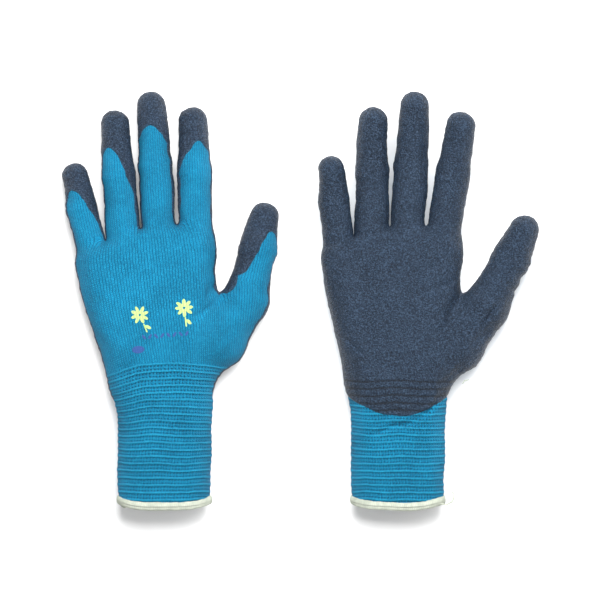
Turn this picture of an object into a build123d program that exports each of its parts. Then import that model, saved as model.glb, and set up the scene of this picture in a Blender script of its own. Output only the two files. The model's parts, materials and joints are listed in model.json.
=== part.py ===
from build123d import *
import os
from math import cos, radians, sin

# A pair of knitted gardening gloves with a dipped foam palm, filled out as a hand fills them and laid
# on a table: the left one palm down, the right one palm up, both with the thumb towards +X.
# Each glove is modelled in its own frame: origin at the middle of the wrist, +Y towards the fingers,
# +Z out of the back of the hand, +X towards the thumb. Lengths are in millimetres, angles in degrees.

# Layers
KNIT_WALL = 1.2
COATING_WALL = 0.8
INK_DEPTH = 0.6
HINGE_GAP = 0.3  # room between two stretches of a glove that bend against each other
FLOOR_FLAT = 0.3  # how far the lowest skin is pressed flat by the table

# Cuff and wrist, as half sizes of a flattened ring
WRIST_HALF_WIDTH = 28.3
WRIST_HALF_DEPTH = 15.5
CUFF_END_HALF_WIDTH = 27.2
CUFF_END_HALF_DEPTH = 14.5
CUFF_LENGTH = 60.5
HEM_HEIGHT = 5.0
HEM_WALL = 1.1
HEM_ROUND = 0.8
ELASTIC_COUNT = 13
ELASTIC_PITCH = 4.1
ELASTIC_WIDTH = 1.0
ELASTIC_DEPTH = 0.5

# Palm: from the wrist to the roots of the fingers
PALM_LENGTH = 105.0
HEEL_HALF_WIDTH = 31.5
HEEL_HALF_DEPTH = 16.0
MIDDLE_HALF_WIDTH = 37.5
MIDDLE_HALF_DEPTH = 15.2
KNUCKLE_SIDE = 1.2  # beyond the fingers on either side
KNUCKLE_HALF_DEPTH = 12.6
WEB_SIDE = -2.2
WEB_HALF_DEPTH = 8.3
WEB_DROP = 6.5  # from PALM_LENGTH down to the bottom of the gaps between the fingers
WEB_GAP = 2.8  # between neighbouring fingers at their roots
PALM_SIDE_STEP = 3.5  # how far the knuckles' middle lies towards the little finger
ROOT_LENGTH = 14.0  # of a finger's root inside the palm

# Thumb: its root stands out from the palm, and its pad faces partly towards the fingers
THUMB_OUT = 16.0  # beyond the side of the knuckles
THUMB_UP = 67.0  # above the wrist
THUMB_DROP = 2.0  # towards the palm side
THUMB_HEEL_RADIUS = 12.6
THUMB_MOUND_RADIUS = 14.4
THUMB_NECK = 9.0  # from the thumb's hinge back to its neck
THUMB_ROLL = 20.0

# Coating
COATING_EDGE = 1.0  # height of its edge on the sides, above the middle of the hand
COATING_START = 3.0  # above the wrist, at the middle of the palm
COATING_START_SIDE = 10.0  # above the wrist, at the sides of the palm

# length: from the root hinge to the tip. bend: from the root hinge to the middle hinge.
# radii: at the root, at the middle hinge and near the tip. rise: of the root above PALM_LENGTH.
# bare: from the tip to where the coating leaves the back. slope: how far it takes to reach the sides.
FINGERS = {
    "index": dict(length=67.0, bend=29.0, radii=(9.4, 9.3, 8.7), rise=2.5, bare=16.0, slope=14.0),
    "middle": dict(length=77.5, bend=34.0, radii=(9.4, 9.3, 8.7), rise=3.5, bare=18.0, slope=15.0),
    "ring": dict(length=70.5, bend=31.0, radii=(9.2, 9.1, 8.5), rise=1.5, bare=18.0, slope=15.0),
    "little": dict(length=47.0, bend=20.0, radii=(8.4, 8.2, 7.5), rise=-4.0, bare=12.0, slope=11.0),
    "thumb": dict(length=49.0, bend=21.0, radii=(10.6, 10.2, 9.3), rise=0.0, bare=14.0, slope=12.0),
}
ACROSS = ("index", "middle", "ring", "little")  # from the thumb's side

# How each glove lies. wrist_x: place on the table. yaw: turn of the hand against its cuff, towards
# the thumb. lean: each finger's angle towards the thumb's side. curl: bend at its root and middle hinge.
GLOVES = {
    "left": dict(
        palm_up=False,
        wrist_x=0.0,
        yaw=-5.0,
        lean=dict(index=3.8, middle=1.2, ring=0.0, little=-7.7, thumb=18.5),
        curl=dict(index=(2, 5), middle=(3, 5), ring=(3, 6), little=(4, 8), thumb=(2, 7)),
    ),
    "right": dict(
        palm_up=True,
        wrist_x=138.0,
        yaw=0.0,
        lean=dict(index=9.0, middle=2.7, ring=0.0, little=-5.4, thumb=28.0),
        curl=dict(index=(5, 11), middle=(5, 12), ring=(6, 13), little=(7, 14), thumb=(3, 10)),
    ),
}

# Ink on the back of the hand: two small daisies, and a darker row of leaves over a plain oval
FLOWER_RADIUS = 5.4
PETAL_COUNT = 8
PETAL_HALF_LENGTH = 1.8
PETAL_HALF_WIDTH = 1.1
FLOWER_PLACES = ((-8.9, 54.6), (17.3, 56.5))
STEM_LENGTH = 4.6
STEM_WIDTH = 0.8
LEAF_HALF_LENGTH = 2.0
LEAF_HALF_WIDTH = 1.0
SPRIG_PLACE = (5.0, 41.5)
SPRIG_LEAVES = 8
SPRIG_PITCH = 3.6
OVAL_PLACE = (-11.5, 34.5)
OVAL_HALF_LENGTH = 3.6
OVAL_HALF_WIDTH = 2.2

FAR = 200.0  # longer than any piece, for cutting
PAST = 4.0  # how far a stretch runs past its hinge before it is cut


def knuckle_half_width():
    """Half the width of the four fingers side by side."""
    widths = [2 * FINGERS[name]["radii"][0] for name in ACROSS]
    return (sum(widths) + WEB_GAP * (len(ACROSS) - 1)) / 2


def root_place(name):
    """Where a finger's axis leaves the palm, in the hand's frame."""
    half = knuckle_half_width()
    if name == "thumb":
        return Vector(half + THUMB_OUT, THUMB_UP, -THUMB_DROP)
    x = half - PALM_SIDE_STEP
    for other in ACROSS:
        radius = FINGERS[other]["radii"][0]
        if other == name:
            return Vector(x - radius, PALM_LENGTH + FINGERS[name]["rise"], 0)
        x -= 2 * radius + WEB_GAP


def finger_frames(glove, name):
    """Planes of a finger in the hand's frame, each with Z along the finger and X across it: at the
    root hinge, along the outer stretch from the middle hinge, and of the mitre between the two."""
    pose, finger = GLOVES[glove], FINGERS[name]
    lean, (first, second) = radians(pose["lean"][name]), pose["curl"][name]
    roll = radians(THUMB_ROLL if name == "thumb" else 0.0)
    root = root_place(name)
    flat = Vector(sin(lean), cos(lean), 0)
    across = Vector(cos(lean), -sin(lean), 0) * cos(roll) - Vector(0, 0, 1) * sin(roll)
    along = flat.rotate(Axis((0, 0, 0), across), -first)
    bend = Axis((0, 0, 0), across)
    middle = root + along * finger["bend"]
    base = Plane(root, x_dir=across, z_dir=along)
    outer = Plane(middle, x_dir=across, z_dir=along.rotate(bend, -second))
    mitre = Plane(middle, x_dir=across, z_dir=along.rotate(bend, -second / 2))
    return base, outer, mitre


def ring_section(y, x, half_width, half_depth):
    """A face across the hand at height y: a flattened ring with nearly round sides."""
    plane = Plane((x, y, 0), x_dir=(1, 0, 0), z_dir=(0, 1, 0))
    return plane * RectangleRounded(2 * half_width, 2 * half_depth, 0.96 * half_depth)


def palm_body(grow):
    """The palm and back as one lofted body, with every surface moved out by grow."""
    half, step = knuckle_half_width(), PALM_SIDE_STEP
    sections = [
        (-6.0, 0.0, WRIST_HALF_WIDTH, WRIST_HALF_DEPTH),
        (0.25 * PALM_LENGTH, -0.3 * step, HEEL_HALF_WIDTH, HEEL_HALF_DEPTH),
        (0.55 * PALM_LENGTH, -0.8 * step, MIDDLE_HALF_WIDTH, MIDDLE_HALF_DEPTH),
        (0.84 * PALM_LENGTH, -step, half + KNUCKLE_SIDE, KNUCKLE_HALF_DEPTH),
        (PALM_LENGTH - WEB_DROP + grow, -step, half + WEB_SIDE, WEB_HALF_DEPTH),
    ]
    return loft([ring_section(y, x, wide + grow, deep + grow) for y, x, wide, deep in sections])


def thumb_mound(glove, grow):
    """A horn that widens from inside the palm into the mound, then narrows to the thumb's root."""
    base, _, _ = finger_frames(glove, "thumb")
    up, out = Vector(0, 0, 1), base.z_dir
    neck = base.origin - out * THUMB_NECK
    heel = Vector(0.28 * neck.X, 0.34 * neck.Y, 0)
    mound = Vector(0.66 * neck.X, 0.6 * neck.Y, 0)
    lift = (mound - heel).normalized()
    level = up - out * out.Z
    radius = FINGERS["thumb"]["radii"][0]
    sections = [
        Plane(heel, x_dir=up, z_dir=lift) * Circle(THUMB_HEEL_RADIUS + grow),
        Plane(mound, x_dir=up, z_dir=(lift + out).normalized()) * Circle(THUMB_MOUND_RADIUS + grow),
        Plane(neck, x_dir=level, z_dir=out) * Circle(radius + 1 + grow),
        Plane(base.origin + out * PAST, x_dir=level, z_dir=out) * Circle(radius + grow),
    ]
    return loft(sections)


def post(plane, start, end, radius):
    """A round bar along a plane's Z, from start to end."""
    bar = Cylinder(radius, end - start, align=(Align.CENTER, Align.CENTER, Align.MIN))
    return plane * Pos(0, 0, start) * bar


def bar_along(plane, start, end, start_radius, end_radius):
    """A round tapered bar along a plane's Z, from start to end."""
    bar = Cone(start_radius, end_radius, end - start, align=(Align.CENTER, Align.CENTER, Align.MIN))
    return plane * Pos(0, 0, start) * bar


def hand_body(glove, grow):
    """The whole hand, its finger roots still running past their hinges."""
    body = palm_body(grow) + thumb_mound(glove, grow)
    for name in ACROSS:
        base, _, _ = finger_frames(glove, name)
        body += post(base, -ROOT_LENGTH, PAST, FINGERS[name]["radii"][0] + grow)
    return body


def trimmed_hand(glove, body):
    """body cut square at the wrist and at each finger's root hinge."""
    body = split(body, Plane((0, 0, 0), x_dir=(1, 0, 0), z_dir=(0, 1, 0)), keep=Keep.TOP)
    for name in FINGERS:
        base, _, _ = finger_frames(glove, name)
        radius = FINGERS[name]["radii"][0] + COATING_WALL + 0.5
        body -= post(base, 0, PAST + 2, radius)
    return body


def coated_zone():
    """Where the hand is coated: its palm side, above a hollow curve near the wrist."""
    wide, side = 90.0, COATING_START_SIDE
    outline = [
        ThreePointArc((-34, side), (0, COATING_START), (36, side)),
        Line((36, side), (wide, side)),
        Line((wide, side), (wide, FAR)),
        Line((wide, FAR), (-wide, FAR)),
        Line((-wide, FAR), (-wide, side)),
        Line((-wide, side), (-34, side)),
    ]
    return extrude(Pos(0, 0, COATING_EDGE) * make_face(outline), amount=40, dir=(0, 0, -1))


def daisy(x, y, turn):
    """Separate petals round a bare middle, over a short stem with one leaf."""
    reach = FLOWER_RADIUS - PETAL_HALF_LENGTH
    drawn = Sketch() + PolarLocations(reach, PETAL_COUNT) * Ellipse(PETAL_HALF_LENGTH, PETAL_HALF_WIDTH)
    low = -FLOWER_RADIUS - 0.4
    drawn += Pos(0, low - STEM_LENGTH / 2) * Rectangle(STEM_WIDTH, STEM_LENGTH)
    leaf = Rot(0, 0, 40) * Ellipse(LEAF_HALF_LENGTH, LEAF_HALF_WIDTH)
    drawn += Pos(1.4, low - 0.55 * STEM_LENGTH) * leaf
    return Pos(x, y) * Rot(0, 0, turn) * drawn


def sprig():
    """A row of small leaves turned two ways, over a plain oval."""
    x, y = SPRIG_PLACE
    drawn = Sketch() + Pos(*OVAL_PLACE) * Ellipse(OVAL_HALF_LENGTH, OVAL_HALF_WIDTH)
    for i in range(SPRIG_LEAVES):
        step = (i - (SPRIG_LEAVES - 1) / 2) * SPRIG_PITCH
        drawn += Pos(x + step, y) * Rot(0, 0, 55 if i % 2 else -55) * Ellipse(1.5, 0.75)
    return drawn


def hand_nodes(glove):
    """Liner and coating of the hand, and the ink soaked into its back, flush with the knit."""
    skin, hollow, coat = (hand_body(glove, grow) for grow in (0.0, -KNIT_WALL, COATING_WALL))
    back, under = palm_body(0.0), palm_body(-INK_DEPTH)
    flowers = daisy(*FLOWER_PLACES[0], 18) + daisy(*FLOWER_PLACES[1], 0)
    stamps = {"flower_print": extrude(flowers, 40), "sprig_print": extrude(sprig(), 40)}
    nodes = {"hand_liner": trimmed_hand(glove, skin - hollow)}
    for node, stamp in stamps.items():
        nodes[node] = (stamp & back) - under
        nodes["hand_liner"] -= stamp - under
    nodes["hand_coating"] = trimmed_hand(glove, (coat & coated_zone()) - skin)
    return nodes


def base_body(glove, name, grow):
    """The inner stretch of a finger, running past both of its hinges."""
    base, _, _ = finger_frames(glove, name)
    root, middle, _ = FINGERS[name]["radii"]
    bend = FINGERS[name]["bend"]
    slope = (middle - root) / bend
    return bar_along(base, -PAST, bend + PAST, root - slope * PAST + grow, middle + slope * PAST + grow)


def tip_body(glove, name, grow):
    """The outer stretch of a finger with its round tip, running back past the middle hinge."""
    _, outer, _ = finger_frames(glove, name)
    _, middle, tip = FINGERS[name]["radii"]
    turn = FINGERS[name]["length"] - FINGERS[name]["bend"] - tip
    start = middle + (middle - tip) / turn * PAST + grow
    end = tip + grow
    half = end * sin(radians(45))
    outline = [
        Line((0, -PAST), (start, -PAST)),
        Line((start, -PAST), (end, turn)),
        ThreePointArc((end, turn), (half, turn + half), (0, turn + end)),
        Line((0, turn + end), (0, -PAST)),
    ]
    return outer * revolve(Plane.XZ * make_face(outline), Axis.Z)


def bare_back(plane, name, length):
    """The back of a finger that its coating leaves bare, as a cutter along plane's Z."""
    finger = FINGERS[name]
    top = finger["radii"][0] + 6
    front = length - finger["bare"]
    back = front - finger["slope"]
    lift = (front - back) / finger["radii"][2] * (top - COATING_EDGE)
    corners = [(-FAR, COATING_EDGE), (back, COATING_EDGE), (back + lift, top), (-FAR, top)]
    # Drawn along the finger and out of its back, then given its width both ways.
    side = Plane(plane.origin, x_dir=plane.z_dir, z_dir=plane.x_dir)
    return extrude(side * make_face(Polyline(corners, close=True)), amount=30, both=True)


def finger_nodes(glove, name):
    """Liner and coating of a finger's two stretches, the outer one starting a gap past the mitre."""
    base, outer, mitre = finger_frames(glove, name)
    length, bend = FINGERS[name]["length"], FINGERS[name]["bend"]
    nodes = {}
    inner = [base_body(glove, name, grow) for grow in (0.0, -KNIT_WALL, COATING_WALL)]
    free = [tip_body(glove, name, grow) for grow in (0.0, -KNIT_WALL, COATING_WALL)]
    for part, (skin, hollow, coat) in (("base", inner), ("tip", free)):
        for layer, wall in (("liner", skin - hollow), ("coating", coat - skin)):
            if part == "base":
                wall = split(wall, base.offset(HINGE_GAP), keep=Keep.TOP)
                wall = split(wall, mitre, keep=Keep.BOTTOM)
            else:
                wall = split(wall, mitre.offset(HINGE_GAP), keep=Keep.TOP)
            nodes[f"{name}_{part}_{layer}"] = wall
    nodes[f"{name}_base_coating"] -= bare_back(base, name, length)
    nodes[f"{name}_tip_coating"] -= bare_back(outer, name, length - bend)
    return nodes


def cuff_tube(top, bottom, grow):
    """A stretch of the cuff's tapering ring, with its surface moved out by grow."""
    faces = []
    for y in (top, bottom):
        share = -y / CUFF_LENGTH
        wide = WRIST_HALF_WIDTH + share * (CUFF_END_HALF_WIDTH - WRIST_HALF_WIDTH)
        deep = WRIST_HALF_DEPTH + share * (CUFF_END_HALF_DEPTH - WRIST_HALF_DEPTH)
        faces.append(ring_section(y, 0, wide + grow, deep + grow))
    return loft(faces)


def cuff_nodes(glove):
    """The cuff's knit, the elastic yarn laid round inside it, and the hem that binds its end."""
    end, above = -CUFF_LENGTH, 8.0
    wall = cuff_tube(above, end, 0) - cuff_tube(above + 5, end - 5, -KNIT_WALL)
    # The hand leans from the cuff, so the cuff's end follows the lean.
    yaw = radians(GLOVES[glove]["yaw"])
    wrist = Plane((0, 0, 0), x_dir=(cos(yaw), -sin(yaw), 0), z_dir=(sin(yaw), cos(yaw), 0))
    wall = split(wall, wrist.offset(-HINGE_GAP), keep=Keep.BOTTOM)
    layer = cuff_tube(above, end, ELASTIC_DEPTH - KNIT_WALL) - cuff_tube(above + 5, end - 5, -KNIT_WALL)
    first = end + HEM_HEIGHT + ELASTIC_PITCH / 2
    last = first + (ELASTIC_COUNT - 1) * ELASTIC_PITCH
    turns = Pos(WRIST_HALF_WIDTH, (first + last) / 2, 0) * Box(8, last - first, 1.6 * ELASTIC_WIDTH)
    for i in range(ELASTIC_COUNT):
        turns += Pos(0, first + i * ELASTIC_PITCH, 0) * Box(FAR, ELASTIC_WIDTH, FAR)
    elastic = layer & turns
    top, bottom = end + HEM_HEIGHT - HEM_WALL, end - HEM_WALL
    ring = cuff_tube(top, bottom, HEM_WALL)
    rims = ring.faces().sort_by(Axis.Y)
    ring = fillet(rims[0].edges() + rims[-1].edges(), HEM_ROUND)
    hem = ring - cuff_tube(top + 5, bottom - 5, -KNIT_WALL - HEM_WALL) - wall
    return {"cuff": wall - elastic, "cuff_elastic": elastic, "cuff_hem": hem}


def glove_nodes(glove):
    """Every node of one glove, lying on the table with its wrist at its place."""
    pose = GLOVES[glove]
    hand = hand_nodes(glove)
    for name in FINGERS:
        hand.update(finger_nodes(glove, name))
    nodes = {node: Rot(0, 0, -pose["yaw"]) * shape for node, shape in hand.items()}
    nodes.update(cuff_nodes(glove))
    if pose["palm_up"]:
        nodes = {node: mirror(shape, about=Plane.XY) for node, shape in nodes.items()}
    lowest = min(shape.bounding_box().min.Z for shape in nodes.values())
    table = Pos(0, 0, lowest + FLOOR_FLAT - 10) * Box(2 * FAR, 3 * FAR, 20)
    placed = {}
    for node, shape in nodes.items():
        if shape.bounding_box().min.Z < lowest + FLOOR_FLAT:
            shape -= table
        placed[f"{glove}_{node}"] = Pos(pose["wrist_x"], 0, -lowest - FLOOR_FLAT) * shape
    return placed


def pair_nodes():
    """Both gloves, with the origin under the middle of the pair."""
    nodes = {}
    for glove in GLOVES:
        nodes.update(glove_nodes(glove))
    boxes = [shape.bounding_box() for shape in nodes.values()]
    middle_x = (min(box.min.X for box in boxes) + max(box.max.X for box in boxes)) / 2
    middle_y = (min(box.min.Y for box in boxes) + max(box.max.Y for box in boxes)) / 2
    return {node: Pos(-middle_x, -middle_y, 0) * shape for node, shape in nodes.items()}


if __name__ == "__main__":
    os.makedirs("parts", exist_ok=True)
    for node, shape in pair_nodes().items():
        export_step(shape, f"parts/{node}.step")
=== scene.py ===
# %% [markdown]
# # A pair of knitted gardening gloves
#
# The CAD frame gives the real sizes, the joints and simple closed solids. This scene lays the visible
# gloves over that frame: a knitted skin with ribs and folds, a dipped foam layer that dives into the
# knit at its edge, an overlocked hem, and ink on the backs.
#
# Lengths inside the modelling cells are millimetres in the hand's own frame: origin at the wrist, +Y to
# the fingers, +X to the thumb, +Z out of the back of the hand. They turn into metres on placing.

import json
from math import cos, pi, radians, sin

import bpy
import numpy as np
from mathutils import Vector
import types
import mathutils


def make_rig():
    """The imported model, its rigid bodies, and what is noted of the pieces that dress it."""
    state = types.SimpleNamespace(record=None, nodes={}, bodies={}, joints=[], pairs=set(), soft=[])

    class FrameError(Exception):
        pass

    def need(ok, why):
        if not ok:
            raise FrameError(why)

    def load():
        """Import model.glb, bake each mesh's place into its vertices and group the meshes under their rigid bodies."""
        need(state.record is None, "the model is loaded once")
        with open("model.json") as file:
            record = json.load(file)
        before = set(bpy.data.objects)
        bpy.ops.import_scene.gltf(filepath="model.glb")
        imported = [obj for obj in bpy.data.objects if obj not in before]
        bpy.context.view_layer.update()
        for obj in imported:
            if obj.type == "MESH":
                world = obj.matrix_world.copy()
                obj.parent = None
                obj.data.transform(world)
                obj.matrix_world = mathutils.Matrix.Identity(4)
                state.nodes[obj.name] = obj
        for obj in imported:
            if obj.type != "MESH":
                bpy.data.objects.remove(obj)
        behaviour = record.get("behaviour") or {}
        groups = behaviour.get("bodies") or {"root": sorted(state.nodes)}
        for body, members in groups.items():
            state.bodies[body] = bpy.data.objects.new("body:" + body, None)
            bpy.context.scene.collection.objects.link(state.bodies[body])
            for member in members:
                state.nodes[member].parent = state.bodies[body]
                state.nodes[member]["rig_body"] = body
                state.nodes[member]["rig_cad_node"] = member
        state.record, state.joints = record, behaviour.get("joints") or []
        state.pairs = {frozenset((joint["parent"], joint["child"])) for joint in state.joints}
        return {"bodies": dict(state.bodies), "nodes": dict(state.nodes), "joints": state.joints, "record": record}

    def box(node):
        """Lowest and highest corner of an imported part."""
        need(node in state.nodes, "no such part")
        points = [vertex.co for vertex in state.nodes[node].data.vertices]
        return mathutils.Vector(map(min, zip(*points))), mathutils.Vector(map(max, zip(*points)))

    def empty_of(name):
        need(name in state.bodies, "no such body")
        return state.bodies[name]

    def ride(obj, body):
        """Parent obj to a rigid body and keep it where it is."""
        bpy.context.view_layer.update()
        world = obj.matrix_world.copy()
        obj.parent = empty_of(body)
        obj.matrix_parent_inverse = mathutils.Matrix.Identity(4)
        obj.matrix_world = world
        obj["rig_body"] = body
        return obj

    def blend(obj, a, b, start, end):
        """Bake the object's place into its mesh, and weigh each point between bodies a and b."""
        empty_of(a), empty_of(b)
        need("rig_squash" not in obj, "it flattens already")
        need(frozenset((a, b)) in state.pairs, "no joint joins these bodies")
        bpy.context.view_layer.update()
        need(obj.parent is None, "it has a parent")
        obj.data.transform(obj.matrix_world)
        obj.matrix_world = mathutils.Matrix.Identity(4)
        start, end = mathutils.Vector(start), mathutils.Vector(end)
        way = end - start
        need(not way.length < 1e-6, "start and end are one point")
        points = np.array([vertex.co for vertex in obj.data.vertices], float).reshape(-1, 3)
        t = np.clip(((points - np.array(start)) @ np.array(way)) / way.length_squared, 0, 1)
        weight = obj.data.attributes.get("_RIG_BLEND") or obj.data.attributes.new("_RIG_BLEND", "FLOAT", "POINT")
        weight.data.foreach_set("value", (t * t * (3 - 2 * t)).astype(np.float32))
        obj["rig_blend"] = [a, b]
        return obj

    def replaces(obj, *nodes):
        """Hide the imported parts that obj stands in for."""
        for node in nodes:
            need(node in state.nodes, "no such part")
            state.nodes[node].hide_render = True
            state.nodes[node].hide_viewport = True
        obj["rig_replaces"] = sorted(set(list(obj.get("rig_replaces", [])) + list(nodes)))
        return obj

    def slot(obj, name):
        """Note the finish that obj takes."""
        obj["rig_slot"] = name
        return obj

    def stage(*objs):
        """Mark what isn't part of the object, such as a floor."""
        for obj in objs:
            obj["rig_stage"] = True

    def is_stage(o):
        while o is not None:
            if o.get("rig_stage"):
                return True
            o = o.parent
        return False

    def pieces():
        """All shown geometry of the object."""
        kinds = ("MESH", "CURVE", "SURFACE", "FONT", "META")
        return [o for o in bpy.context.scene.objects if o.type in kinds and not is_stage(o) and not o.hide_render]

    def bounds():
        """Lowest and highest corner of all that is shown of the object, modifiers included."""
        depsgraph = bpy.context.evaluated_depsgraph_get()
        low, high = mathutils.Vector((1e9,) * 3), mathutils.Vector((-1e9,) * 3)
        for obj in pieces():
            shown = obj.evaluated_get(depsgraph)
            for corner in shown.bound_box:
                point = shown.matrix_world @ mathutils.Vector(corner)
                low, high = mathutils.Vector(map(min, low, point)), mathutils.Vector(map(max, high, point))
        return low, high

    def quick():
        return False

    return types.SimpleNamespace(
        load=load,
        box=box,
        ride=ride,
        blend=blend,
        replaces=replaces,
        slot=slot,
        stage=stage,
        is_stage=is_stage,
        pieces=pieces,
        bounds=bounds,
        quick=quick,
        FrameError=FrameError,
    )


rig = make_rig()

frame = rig.load()
cad_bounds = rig.bounds()

# %% [markdown]
# ## The hand's own sizes
#
# One table per finger: place of the root on the hand, length to the tip, distance to the middle joint,
# radii at root, middle joint and tip, and where the foam leaves the back of the finger.

# %% Sizes of the hand
FINGERS = {
    "index": dict(root=(27.7, 107.5, 0.0), length=67.0, bend=29.0, radii=(9.8, 9.4, 7.9), bare=21.8),
    "middle": dict(root=(6.1, 108.5, 0.0), length=77.5, bend=34.0, radii=(9.8, 9.4, 7.9), bare=21.6),
    "ring": dict(root=(-15.3, 106.5, 0.0), length=70.5, bend=31.0, radii=(9.6, 9.2, 7.8), bare=23.3),
    "little": dict(root=(-35.7, 101.0, 0.0), length=47.0, bend=20.0, radii=(8.8, 8.3, 7.0), bare=17.2),
    "thumb": dict(root=(56.6, 67.0, -2.0), length=49.0, bend=21.0, radii=(10.8, 10.4, 8.6), bare=16.5),
}
# Each finger was dipped a little askew: where the bare cloth peaks across the finger, as a share of its
# radius, and how far the foam's edge has dropped at the side away from the peak.
ASKEW = {
    "index": (0.4, 19.0),
    "middle": (-0.1, 15.0),
    "ring": (-0.5, 31.0),
    "little": (-0.48, 24.0),
    "thumb": (0.4, 44.0),
}
THUMB_ROLL = 20.0
GLOVES = {
    "left": dict(
        palm_up=False,
        yaw=-5.0,
        lean=dict(index=3.8, middle=1.2, ring=0.0, little=-7.7, thumb=18.5),
        curl=dict(index=(2, 5), middle=(3, 5), ring=(3, 6), little=(4, 8), thumb=(2, 7)),
    ),
    "right": dict(
        palm_up=True,
        yaw=0.0,
        lean=dict(index=9.0, middle=2.7, ring=0.0, little=-5.4, thumb=28.0),
        curl=dict(index=(5, 11), middle=(5, 12), ring=(6, 13), little=(7, 14), thumb=(3, 10)),
    ),
}
# Height along the hand, centre, half width and half depth, from the cuff's end to the knuckles.
TUBE = np.array(
    [
        (-70, 0.0, 27.0, 14.6),
        (-30, 0.0, 27.3, 14.9),
        (0, 0.0, 28.4, 15.5),
        (12, -0.5, 29.8, 15.8),
        (26, -1.0, 31.6, 16.0),
        (58, -2.8, 37.5, 15.2),
        (88, -3.5, 41.5, 12.8),
        (100, -3.5, 40.5, 10.6),
        (120, -3.5, 40.5, 10.2),
    ]
)
CELL = 1.3 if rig.quick() else 0.8
ROW_PITCH = 4.2
HALF_ROUND = 84.0  # half the way round the glove in stitches of 1.5 mm; they stretch where it is wider
CUFF_END = -58.5
CUFF_DROP = 3.2  # how far the cuff's end hangs lower in its middle than at its sides
print(f"{len(FINGERS)} fingers on each of {len(GLOVES)} gloves, grid cells of {CELL} mm")


# %% Turns
def unit(v):
    v = np.asarray(v, float)
    return v / np.linalg.norm(v)


def turned(v, axis, degrees):
    """v turned about a unit axis by the right-hand rule."""
    a, c, s = np.asarray(axis, float), cos(radians(degrees)), sin(radians(degrees))
    return v * c + np.cross(a, v) * s + a * np.dot(a, v) * (1 - c)


def turn_matrix(degrees):
    """A turn about Z by the right-hand rule."""
    c, s = cos(radians(degrees)), sin(radians(degrees))
    return np.array([[c, -s, 0], [s, c, 0], [0, 0, 1]])


def finger_axes(glove, name):
    """Points and unit vectors of a finger: root, middle joint, tip centre, across, and the direction of each of its
    two stretches."""
    pose, finger = GLOVES[glove], FINGERS[name]
    lean, (first, second) = radians(pose["lean"][name]), pose["curl"][name]
    roll = radians(THUMB_ROLL if name == "thumb" else 0)
    flat = np.array([sin(lean), cos(lean), 0.0])
    across = np.array([cos(lean), -sin(lean), 0.0]) * cos(roll) - np.array([0, 0, 1.0]) * sin(roll)
    base = turned(flat, across, -first)
    outer = turned(base, across, -second)
    root = np.array(finger["root"])
    middle = root + base * finger["bend"]
    tip = middle + outer * (finger["length"] - finger["bend"] - finger["radii"][2])
    return dict(root=root, middle=middle, tip=tip, across=across, base=base, outer=outer)


AXES = {g: {n: finger_axes(g, n) for n in FINGERS} for g in GLOVES}
for g in GLOVES:
    print(g, "fingertips at", {n: [round(float(c)) for c in a["tip"]] for n, a in AXES[g].items()}, "mm")

# %% [markdown]
# ## A hand as a distance field
#
# Each part of the hand is a simple solid whose distance is easy to write: a slot-shaped tube for the
# cuff and palm, tapered round bars for the fingers and the thumb's mound. A soft minimum melts each bar
# into the palm, which makes the webs between the fingers without modelling them.


# %% The distance field
def ramp(x, low, high):
    t = np.clip((x - low) / (high - low), 0, 1)
    return t * t * (3 - 2 * t)


def soft_min(a, b, k):
    h = np.maximum(k - np.abs(a - b), 0) / k
    return np.minimum(a, b) - h * h * k / 4


def bar(points, a, b, ra, rb):
    """Distance to a tapered bar with round ends."""
    along = b - a
    t = np.clip((points - a) @ along / (along @ along), 0, 1)
    return np.linalg.norm(points - a - t[:, None] * along, axis=1) - (ra + t * (rb - ra))


_table_y = np.arange(-70, 121, 0.5)
_kernel = np.hanning(25) / np.hanning(25).sum()


def tube_size(y, column):
    values = np.interp(_table_y, TUBE[:, 0], TUBE[:, column])
    padded = np.pad(values, 12, mode="edge")
    return np.interp(y, _table_y, np.convolve(padded, _kernel, mode="valid"))


def palm_end(x):
    """Height of the bottom of the gaps between the fingers."""
    return np.interp(x, [-45, -26, -5, 17, 45], [94, 98.5, 104.5, 105, 100])


def straightened(points, glove):
    """The hand leans from its cuff, which hangs straight: points turned back about the wrist."""
    turn = radians(-GLOVES[glove]["yaw"]) * (1 - ramp(points[:, 1], -14, 14))
    c, s, (x, y, z) = np.cos(turn), np.sin(turn), points.T
    return np.column_stack([x * c - y * s, x * s + y * c, z])


def tube_distance(points):
    x, y, z = points.T
    centre, wide, deep = (tube_size(y, c) for c in (1, 2, 3))
    side = np.maximum(np.abs(x - centre) - (wide - deep), 0)
    body = np.hypot(side, z) - deep
    return -soft_min(-body, -(y - palm_end(x)), 7.0)


def finger_distance(points, glove, name):
    a, r = AXES[glove][name], FINGERS[name]["radii"]
    start = a["root"] - a["base"] * (6 if name == "thumb" else 16)
    inner = bar(points, start, a["middle"], r[0], r[1])
    outer = bar(points, a["middle"], a["tip"], r[1], r[2])
    return soft_min(inner, outer, 2.5)


def hand_distance(points, glove):
    tube = tube_distance(straightened(points, glove))
    a, r = AXES[glove]["thumb"], FINGERS["thumb"]["radii"]
    neck = a["root"] - a["base"] * 9
    heel, mound = neck * [0.3, 0.34, 0], neck * [0.66, 0.6, 0]
    thumb = soft_min(bar(points, heel, mound, 12.6, 14.4), bar(points, mound, neck, 14.4, r[0] + 1.2), 6)
    thumb = soft_min(thumb, bar(points, neck, a["root"], r[0] + 1.2, r[0]), 5)
    palm = soft_min(tube, thumb, 9)
    whole = soft_min(palm, finger_distance(points, glove, "thumb"), 4)
    for name in ("index", "middle", "ring", "little"):
        joined = soft_min(palm, finger_distance(points, glove, name), 3.5)
        whole = soft_min(whole, joined, 0.5)
    return whole


# %% [markdown]
# ## From field to mesh
#
# Surface nets: one vertex in every grid cell that the surface crosses, at the mean of the crossings on
# its edges, and one quad round every grid edge that it crosses. A few steps along the gradient then put
# each vertex exactly on the surface.


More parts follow.
